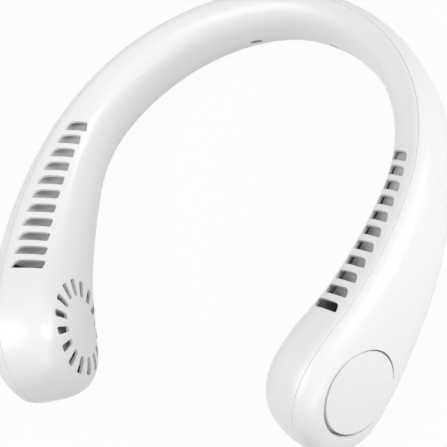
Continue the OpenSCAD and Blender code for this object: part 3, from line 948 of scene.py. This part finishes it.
# metals: the noise is squeezed into brushed or turned lines, or left even for cast ones
metalNoise = {"scale": 1, "detail": 3, "rough": 0.6, "bump": 0.3, "depth": 0.00001}
metals = {
    "rotor_steel": {
        "name": "rotorSteel",
        "light": (0.62, 0.62, 0.63),
        "dark": (0.48, 0.48, 0.5),
        "gloss": 0.28,
        "vary": 0.16,
        "squeeze": (60, 60, 2200),
    },
    "magnet": {
        "name": "magnet",
        "light": (0.16, 0.16, 0.17),
        "dark": (0.1, 0.1, 0.11),
        "gloss": 0.5,
        "vary": 0.2,
        "squeeze": (700, 700, 700),
        "metallic": 0.6,
    },
    "shaft_steel": {
        "name": "shaftSteel",
        "light": (0.72, 0.72, 0.73),
        "dark": (0.6, 0.6, 0.62),
        "gloss": 0.16,
        "vary": 0.1,
        "squeeze": (60, 60, 2200),
    },
    "bearing_bronze": {
        "name": "bearingBronze",
        "light": (0.6, 0.4, 0.2),
        "dark": (0.42, 0.27, 0.13),
        "gloss": 0.36,
        "vary": 0.18,
        "squeeze": (900, 900, 900),
    },
    "core_steel": {
        "name": "coreSteel",
        "light": (0.42, 0.42, 0.44),
        "dark": (0.22, 0.22, 0.24),
        "gloss": 0.34,
        "vary": 0.16,
        "squeeze": (30, 30, 5000),
    },
    "screw_steel": {
        "name": "screwSteel",
        "light": (0.5, 0.5, 0.52),
        "dark": (0.34, 0.34, 0.36),
        "gloss": 0.26,
        "vary": 0.14,
        "squeeze": (500, 500, 500),
    },
    "socket_steel": {
        "name": "socketSteel",
        "light": (0.66, 0.66, 0.67),
        "dark": (0.5, 0.5, 0.52),
        "gloss": 0.24,
        "vary": 0.14,
        "squeeze": (400, 400, 400),
    },
}


def metal(name, light, dark, gloss, vary, squeeze, metallic=1.0):
    paint = Paint(name)
    place = paint.node("ShaderNodeMapping", inputs={"Vector": paint.place(), "Scale": squeeze}).outputs[0]
    lines = paint.noise(metalNoise["scale"], metalNoise["detail"], metalNoise["rough"], place)
    return paint.finish(
        Base_Color=paint.mix(lines, light, dark),
        Roughness=gloss + vary * lines,
        Metallic=metallic,
        Normal=paint.bump(lines, metalNoise["bump"], metalNoise["depth"]),
    )


# enamelled copper wire, wound side by side
winding = {
    "scale": 900.0,
    "waver": 1.5,
    "detail": 2.0,
    "dark": (0.36, 0.13, 0.045),
    "light": (0.78, 0.36, 0.16),
    "gloss": 0.24,
    "vary": 0.14,
    "metallic": 0.9,
    "bump": 0.7,
    "depth": 0.0001,
}


def windings():
    paint = Paint("copperWindings")
    rings = paint.node(
        "ShaderNodeTexWave",
        {"wave_type": "BANDS", "bands_direction": "DIAGONAL"},
        {
            "Vector": paint.place(),
            "Scale": winding["scale"],
            "Distortion": winding["waver"],
            "Detail": winding["detail"],
        },
    )
    band = Value(paint, rings.outputs["Fac"])
    return paint.finish(
        Base_Color=paint.mix(band, winding["dark"], winding["light"]),
        Roughness=winding["gloss"] + winding["vary"] * band,
        Metallic=winding["metallic"],
        Normal=paint.bump(band, winding["bump"], winding["depth"]),
    )


# green board with raised traces between its cells
board = {
    "scale": 420.0,
    "traceStops": [(0.03, (1, 1, 1)), (0.06, (0, 0, 0))],
    "green": (0.015, 0.12, 0.055),
    "trace": (0.06, 0.3, 0.14),
    "gloss": 0.34,
    "vary": 0.1,
    "coat": 0.4,
    "coatGloss": 0.2,
    "bump": 0.5,
    "depth": 0.00004,
}


def circuitBoard():
    paint = Paint("circuitBoard")
    gap = paint.cells("DISTANCE_TO_EDGE", board["scale"])
    traces = paint.node("ShaderNodeValToRGB", {"stops": board["traceStops"]}, {0: gap})
    mask = Value(paint, traces.outputs[0])
    return paint.finish(
        Base_Color=paint.mix(mask, board["green"], board["trace"]),
        Roughness=board["gloss"] - board["vary"] * mask,
        Coat_Weight=board["coat"],
        Coat_Roughness=board["coatGloss"],
        Normal=paint.bump(mask, board["bump"], board["depth"]),
    )


# crumpled foil round the cells
foil = {
    "scale": 160,
    "detail": 5,
    "rough": 0.65,
    "light": (0.62, 0.63, 0.66),
    "dark": (0.5, 0.51, 0.54),
    "gloss": 0.26,
    "vary": 0.2,
    "metallic": 0.85,
    "bump": 0.8,
    "depth": 0.0003,
}


def foilWrap():
    paint = Paint("cellFoil")
    folds = paint.noise(foil["scale"], foil["detail"], foil["rough"])
    return paint.finish(
        Base_Color=paint.mix(folds, foil["light"], foil["dark"]),
        Roughness=foil["gloss"] + foil["vary"] * folds,
        Metallic=foil["metallic"],
        Normal=paint.bump(folds, foil["bump"], foil["depth"]),
    )


# black foam with fine pores
foam = {
    "scale": 1500.0,
    "dark": (0.02, 0.021, 0.022),
    "light": (0.07, 0.072, 0.076),
    "gloss": 0.95,
    "vary": 0.1,
    "bump": 0.9,
    "depth": 0.0003,
}


def padFoam():
    paint = Paint("padFoam")
    pore = paint.cells("F1", foam["scale"])
    return paint.finish(
        Base_Color=paint.mix(pore, foam["dark"], foam["light"]),
        Roughness=foam["gloss"] - foam["vary"] * pore,
        Normal=paint.bump(pore, foam["bump"], foam["depth"]),
    )


lensLook = {
    "scale": 300,
    "detail": 2,
    "light": (0.86, 0.93, 0.95),
    "dark": (0.78, 0.88, 0.92),
    "gloss": 0.12,
    "vary": 0.06,
    "clear": 0.55,
    "ior": 1.49,
}


def clearLens():
    paint = Paint("lensClear")
    cloud = paint.noise(lensLook["scale"], lensLook["detail"])
    return paint.finish(
        Base_Color=paint.mix(cloud, lensLook["light"], lensLook["dark"]),
        Roughness=lensLook["gloss"] + lensLook["vary"] * cloud,
        Transmission_Weight=lensLook["clear"],
        IOR=lensLook["ior"],
    )


finishes = {slot: mouldedPlastic(**look) for slot, look in plastics.items()}
finishes.update({slot: metal(**look) for slot, look in metals.items()})
finishes["coil_copper"] = windings()
finishes["cell_foil"] = foilWrap()
finishes["pad_foam"] = padFoam()
finishes["board_green"] = circuitBoard()
finishes["lens_clear"] = clearLens()


def cover(thing, material):
    thing.data.materials.clear()
    thing.data.materials.append(material)


for row in frame["record"]["subparts"]:
    cover(nodes[row["node"]], finishes[row["material_slot"]])
for piece in [o for o in scene.objects if "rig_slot" in o]:
    cover(piece, finishes[piece["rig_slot"]])
print("materials done:", len(finishes))


# floor, world and lamps; the floor lies just under the lowest point
studio = {
    "floorSize": 6,
    "floorSink": 0.0002,
    "floorColour": (0.55, 0.55, 0.55),
    "floorGrain": 3,
    "floorDetail": 2,
    "floorDark": 0.985,
    "floorGlow": 0.96,
    "world": 0.41,
    "aim": (0, 0, 0.03),
    "lamps": [
        # place in metres, width and height, power in watts
        ("topLamp", (-0.45, -0.33, 1.05), (0.9, 0.9), 7.0),
        ("sideLamp", (0.98, 0.22, 0.55), (0.24, 0.8), 4.5),
        ("frontLamp", (0.9, -0.75, 0.3), (0.7, 0.4), 1.6),
        ("lowLamp", (1.0, 0.45, 0.08), (0.6, 0.14), 2.6),
    ],
}
white = (1, 1, 1, 1)


# 1 for the rays that see the background as plain white: direct, mirrored or through glass
def whiteRays(paint):
    rays = paint.node("ShaderNodeLightPath")
    seen = Value(paint, rays.outputs["Is Camera Ray"])
    for kind in ("Is Glossy Ray", "Is Transmission Ray"):
        seen = seen.sum("MAXIMUM", seen, Value(paint, rays.outputs[kind]))
    return seen


def studioFloor():
    bm = bmesh.new()
    bmesh.ops.create_grid(bm, x_segments=1, y_segments=1, size=studio["floorSize"])
    thing = newObject("floor", bm, moved(z=-studio["floorSink"]))
    faceUp(thing, lambda f: f.area)
    paint = Paint("floorWhite")
    grain = paint.noise(studio["floorGrain"], studio["floorDetail"])
    light = studio["floorColour"]
    dark = tuple(c * studio["floorDark"] for c in light)
    matte = paint.node("ShaderNodeBsdfDiffuse", inputs={"Color": paint.mix(grain, light, dark)})
    glow = paint.node("ShaderNodeEmission", inputs={"Color": white, "Strength": 1.0})
    share = whiteRays(paint) * studio["floorGlow"]
    both = paint.node("ShaderNodeMixShader", inputs={0: share, 1: matte.outputs[0], 2: glow.outputs[0]})
    paint.node("ShaderNodeOutputMaterial", inputs={"Surface": both.outputs[0]})
    cover(thing, paint.owner)


def studioWorld():
    paint = Paint("studio", bpy.data.worlds)
    plain = paint.node("ShaderNodeBackground", inputs={"Color": white, "Strength": studio["world"]})
    bright = paint.node("ShaderNodeBackground", inputs={"Color": white, "Strength": 1.0})
    both = paint.node(
        "ShaderNodeMixShader", inputs={0: whiteRays(paint), 1: plain.outputs[0], 2: bright.outputs[0]}
    )
    paint.node("ShaderNodeOutputWorld", inputs={"Surface": both.outputs[0]})
    scene.world = paint.owner


def lamp(name, at, size, power):
    data = bpy.data.lights.new(name, "AREA")
    data.shape = "ELLIPSE"
    data.size, data.size_y = size
    data.energy = power
    thing = bpy.data.objects.new(name, data)
    scene.collection.objects.link(thing)
    aim = Vector(studio["aim"]) - Vector(at)
    thing.matrix_world = Matrix.Translation(at) @ aim.to_track_quat("-Z", "Y").to_matrix().to_4x4()


studioFloor()
studioWorld()
for row in studio["lamps"]:
    lamp(*row)
print("studio done")


# camera at the photograph's place; rows are its right, up and backward directions
view = {
    "at": (0.48449, -0.21516, 0.73285),
    "right": (0.83077, 0.26203, -0.49107),
    "up": (-0.09612, 0.93654, 0.33713),
    "back": (0.54825, -0.23287, 0.80324),
    "lens": 179.91,
    "sensor": 36,
    "clip": (0.01, 20),
}
camera = bpy.data.objects.new("camera", bpy.data.cameras.new("camera"))
scene.collection.objects.link(camera)
axes = Matrix((view["right"], view["up"], view["back"])).transposed()
camera.matrix_world = Matrix.Translation(view["at"]) @ axes.to_quaternion().to_matrix().to_4x4()
camera.data.lens = view["lens"]
camera.data.sensor_width = view["sensor"]
camera.data.sensor_fit = "HORIZONTAL"
camera.data.clip_start, camera.data.clip_end = view["clip"]
scene.camera = camera
scene.view_settings.view_transform = "Standard"

print("scene done")
